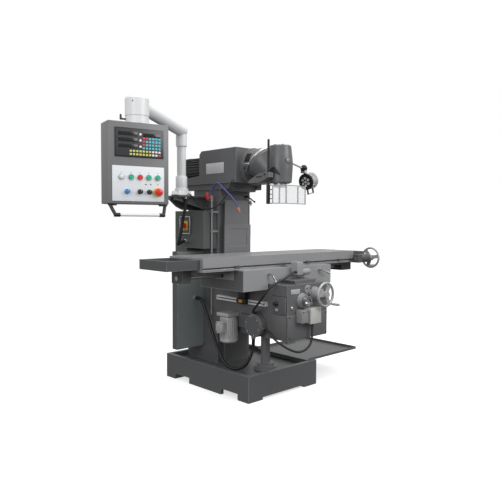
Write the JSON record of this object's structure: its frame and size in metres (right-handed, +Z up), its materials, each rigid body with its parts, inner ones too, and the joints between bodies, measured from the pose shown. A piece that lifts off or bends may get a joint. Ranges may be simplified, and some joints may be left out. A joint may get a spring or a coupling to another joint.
{
  "type": "horizontal milling machine",
  "caption": "Ram-type knee milling machine with a double-swivel head, long T-slot table, elevating knee, chip tray and a swinging control pendant.",
  "frame": {"origin": "on the floor, at the centre of the four anchor bolts under the base", "axes": "+X along the table to the operator's right, +Y from the operator into the machine, +Z up"},
  "size_m": [2.3187, 1.544, 2.095],
  "materials": {
    "machine_paint": "fine textured satin",
    "light_paint": "satin",
    "white_paint": "satin",
    "case_paint": "satin",
    "black_paint": "satin",
    "ground_iron": "ground",
    "knee_paint": "satin",
    "steel": "turned",
    "bright": "polished",
    "alloy": "satin",
    "bronze": "machined",
    "hose_black": "matt",
    "hose_blue": "matt",
    "clear": "clear",
    "lens": "dark glass",
    "panel": "satin film",
    "green": "gloss",
    "red": "gloss",
    "blue": "gloss",
    "black_plastic": "satin",
    "box_plastic": "satin"
  },
  "bodies": {
    "frame": {"base_casting": "machine_paint", "chip_tray": "machine_paint", "column": "machine_paint", "ram_guide": "machine_paint", "electrical_cabinet": "machine_paint", "cabinet_panel": "machine_paint", "elevating_pillar": "machine_paint", "pendant_post": "white_paint", "coolant_pipe": "steel", "coolant_hose": "hose_blue", "pendant_conduit": "hose_black", "power_conduit": "hose_black", "lamp_cable": "hose_black"},
    "main_switch": {"main_switch_knob": "red"},
    "valve": {"coolant_valve": "red"},
    "ram": {"ram_casting": "machine_paint", "drive_motor": "black_paint"},
    "drive": {"drive_shaft": "steel"},
    "ram_lock": {"ram_lock_lever": "black_plastic"},
    "swivel": {"swivel_knuckle": "machine_paint"},
    "head": {"milling_head": "machine_paint", "spindle_bearings": "steel", "guard_rod": "black_paint"},
    "quill": {"spindle": "bright"},
    "guard": {"spindle_guard": "clear"},
    "lamp_link": {"lamp_arm": "alloy"},
    "lamp": {"lamp_body": "alloy", "lamp_lens": "lens"},
    "knee": {"knee_casting": "knee_paint", "way_guard": "light_paint", "feed_motor": "alloy", "feed_gearbox": "knee_paint", "knee_fittings": "knee_paint", "junction_boxes": "box_plastic", "knee_conduit": "hose_black"},
    "z_screw": {"elevating_screw": "steel"},
    "z_shaft": {"elevating_shaft": "bright"},
    "y_wheel": {"y_handwheel": "alloy"},
    "saddle": {"saddle_casting": "light_paint", "limit_switch": "light_paint", "feed_nuts": "bronze", "limit_conduit": "hose_black"},
    "lock_left": {"saddle_lock_left": "bright"},
    "lock_right": {"saddle_lock_right": "bright"},
    "work_table": {"table": "ground_iron", "table_fittings": "knee_paint"},
    "x_screw": {"x_leadscrew": "steel"},
    "x_wheel": {"x_handwheel": "alloy"},
    "arm": {"pendant_arm": "white_paint"},
    "pendant": {"pendant_box": "case_paint", "pendant_panels": "panel", "pendant_handle": "black_plastic"},
    "button_on": {"power_on_button": "green"},
    "button_off": {"power_off_button": "red"},
    "button_spindle": {"spindle_button": "green"},
    "button_feed": {"feed_button": "green"},
    "stop_button": {"emergency_stop": "red"},
    "knob_speed": {"speed_knob": "blue"},
    "knob_feed": {"feed_knob": "black_plastic"},
    "selector": {"mode_selector": "black_plastic"}
  },
  "joints": [
    {"name": "knee_slide", "type": "slide", "parent": "frame", "child": "knee", "axis": [0, 0, 1], "range_m": [-0.18, 0.12], "deforming": ["power_conduit"]},
    {"name": "saddle_slide", "type": "slide", "parent": "knee", "child": "saddle", "axis": [0, 1, 0], "range_m": [-0.2, 0.08], "deforming": ["limit_conduit"]},
    {"name": "table_slide", "type": "slide", "parent": "saddle", "child": "work_table", "axis": [1, 0, 0], "range_m": [-0.35, 0.3]},
    {"name": "ram_slide", "type": "slide", "parent": "frame", "child": "ram", "axis": [0, 1, 0], "range_m": [-0.2, 0.1], "deforming": ["lamp_cable"]},
    {"name": "head_roll", "type": "hinge", "parent": "ram", "child": "swivel", "pos_m": [0, -0.2, 1.682], "axis": [0, 1, 0], "range_deg": [-90, 90]},
    {"name": "head_tilt", "type": "hinge", "parent": "swivel", "child": "head", "pos_m": [0, -0.265, 1.715], "axis": [0, -0.7071, -0.7071], "range_deg": [0, 90]},
    {"name": "drive_spin", "type": "hinge", "parent": "ram", "child": "drive", "pos_m": [0, 0, 1.682], "axis": [0, 1, 0], "continuous": true},
    {"name": "spindle_spin", "type": "hinge", "parent": "head", "child": "quill", "pos_m": [0, -0.425, 1.6], "axis": [0, 0, 1], "continuous": true},
    {"name": "guard_swing", "type": "hinge", "parent": "head", "child": "guard", "pos_m": [-0.132, -0.433, 1.45], "axis": [0, 0, 1], "range_deg": [-110, 0]},
    {"name": "lamp_swing", "type": "hinge", "parent": "head", "child": "lamp_link", "pos_m": [0.104, -0.431, 1.7], "axis": [0, 0, 1], "range_deg": [-60, 45]},
    {"name": "lamp_tilt", "type": "hinge", "parent": "lamp_link", "child": "lamp", "pos_m": [0.25, -0.435, 1.67], "axis": [0, 1, 0], "range_deg": [-25, 35]},
    {"name": "main_switch_turn", "type": "hinge", "parent": "frame", "child": "main_switch", "pos_m": [-0.31, 0.315, 1.23], "axis": [1, 0, 0], "range_deg": [-90, 0]},
    {"name": "valve_turn", "type": "hinge", "parent": "frame", "child": "valve", "pos_m": [-0.26, 0.08, 1.44], "axis": [1, 0, 0], "range_deg": [-90, 0]},
    {"name": "ram_lock_turn", "type": "hinge", "parent": "frame", "child": "ram_lock", "pos_m": [0.11, 0.06, 1.464], "axis": [0, 1, 0], "range_deg": [-60, 60]},
    {"name": "lock_left_turn", "type": "hinge", "parent": "saddle", "child": "lock_left", "pos_m": [-0.223, -0.535, 0.9017], "axis": [0, 1, 0], "range_deg": [-45, 20]},
    {"name": "lock_right_turn", "type": "hinge", "parent": "saddle", "child": "lock_right", "pos_m": [0.324, -0.535, 0.9017], "axis": [0, 1, 0], "range_deg": [-45, 20]},
    {"name": "z_screw_turn", "type": "hinge", "parent": "knee", "child": "z_screw", "pos_m": [0, -0.285, 0.6], "axis": [0, 0, 1], "continuous": true},
    {"name": "z_shaft_turn", "type": "hinge", "parent": "knee", "child": "z_shaft", "pos_m": [-0.06, -0.7, 0.718], "axis": [0, 1, 0], "continuous": true},
    {"name": "y_wheel_turn", "type": "hinge", "parent": "knee", "child": "y_wheel", "pos_m": [0.07, -0.7, 0.757], "axis": [0, 1, 0], "continuous": true},
    {"name": "x_screw_turn", "type": "hinge", "parent": "work_table", "child": "x_screw", "pos_m": [0, -0.305, 0.891], "axis": [1, 0, 0], "continuous": true},
    {"name": "x_wheel_turn", "type": "hinge", "parent": "work_table", "child": "x_wheel", "pos_m": [0.9, -0.507, 0.963], "axis": [1, 0, 0], "continuous": true},
    {"name": "arm_swing", "type": "hinge", "parent": "frame", "child": "arm", "pos_m": [-0.4, 0.238, 1.85], "axis": [0, 0, 1], "range_deg": [-70, 25]},
    {"name": "pendant_turn", "type": "hinge", "parent": "arm", "child": "pendant", "pos_m": [-0.94958, -0.01014, 1.95], "axis": [0, 0, 1], "range_deg": [-60, 60]},
    {"name": "press_on", "type": "slide", "parent": "pendant", "child": "button_on", "axis": [0.225, 0.9744, 0], "range_m": [0, 0.004], "stiffness_N_per_m": 600},
    {"name": "press_off", "type": "slide", "parent": "pendant", "child": "button_off", "axis": [0.225, 0.9744, 0], "range_m": [0, 0.004], "stiffness_N_per_m": 600},
    {"name": "press_spindle", "type": "slide", "parent": "pendant", "child": "button_spindle", "axis": [0.225, 0.9744, 0], "range_m": [0, 0.004], "stiffness_N_per_m": 600},
    {"name": "press_feed", "type": "slide", "parent": "pendant", "child": "button_feed", "axis": [0.225, 0.9744, 0], "range_m": [0, 0.004], "stiffness_N_per_m": 600},
    {"name": "press_stop", "type": "slide", "parent": "pendant", "child": "stop_button", "axis": [0.225, 0.9744, 0], "range_m": [0, 0.006], "stiffness_N_per_m": 900},
    {"name": "speed_turn", "type": "hinge", "parent": "pendant", "child": "knob_speed", "pos_m": [-1.06718, -0.07946, 1.455], "axis": [-0.225, -0.9744, 0], "range_deg": [-135, 135]},
    {"name": "feed_turn", "type": "hinge", "parent": "pendant", "child": "knob_feed", "pos_m": [-0.98241, -0.09903, 1.455], "axis": [-0.225, -0.9744, 0], "range_deg": [-135, 135]},
    {"name": "selector_turn", "type": "hinge", "parent": "pendant", "child": "selector", "pos_m": [-0.92005, -0.11343, 1.455], "axis": [-0.225, -0.9744, 0], "range_deg": [-45, 45]}
  ],
  "couplings": [
    {"joint": "x_screw_turn", "follows": "table_slide", "rad_per_m": 1047.2},
    {"joint": "x_wheel_turn", "follows": "table_slide", "rad_per_m": -1047.2},
    {"joint": "y_wheel_turn", "follows": "saddle_slide", "rad_per_m": -1047.2},
    {"joint": "z_screw_turn", "follows": "knee_slide", "rad_per_m": 1047.2},
    {"joint": "z_shaft_turn", "follows": "knee_slide", "rad_per_m": 2814.3},
    {"joint": "spindle_spin", "follows": "drive_spin", "ratio": 1}
  ]
}
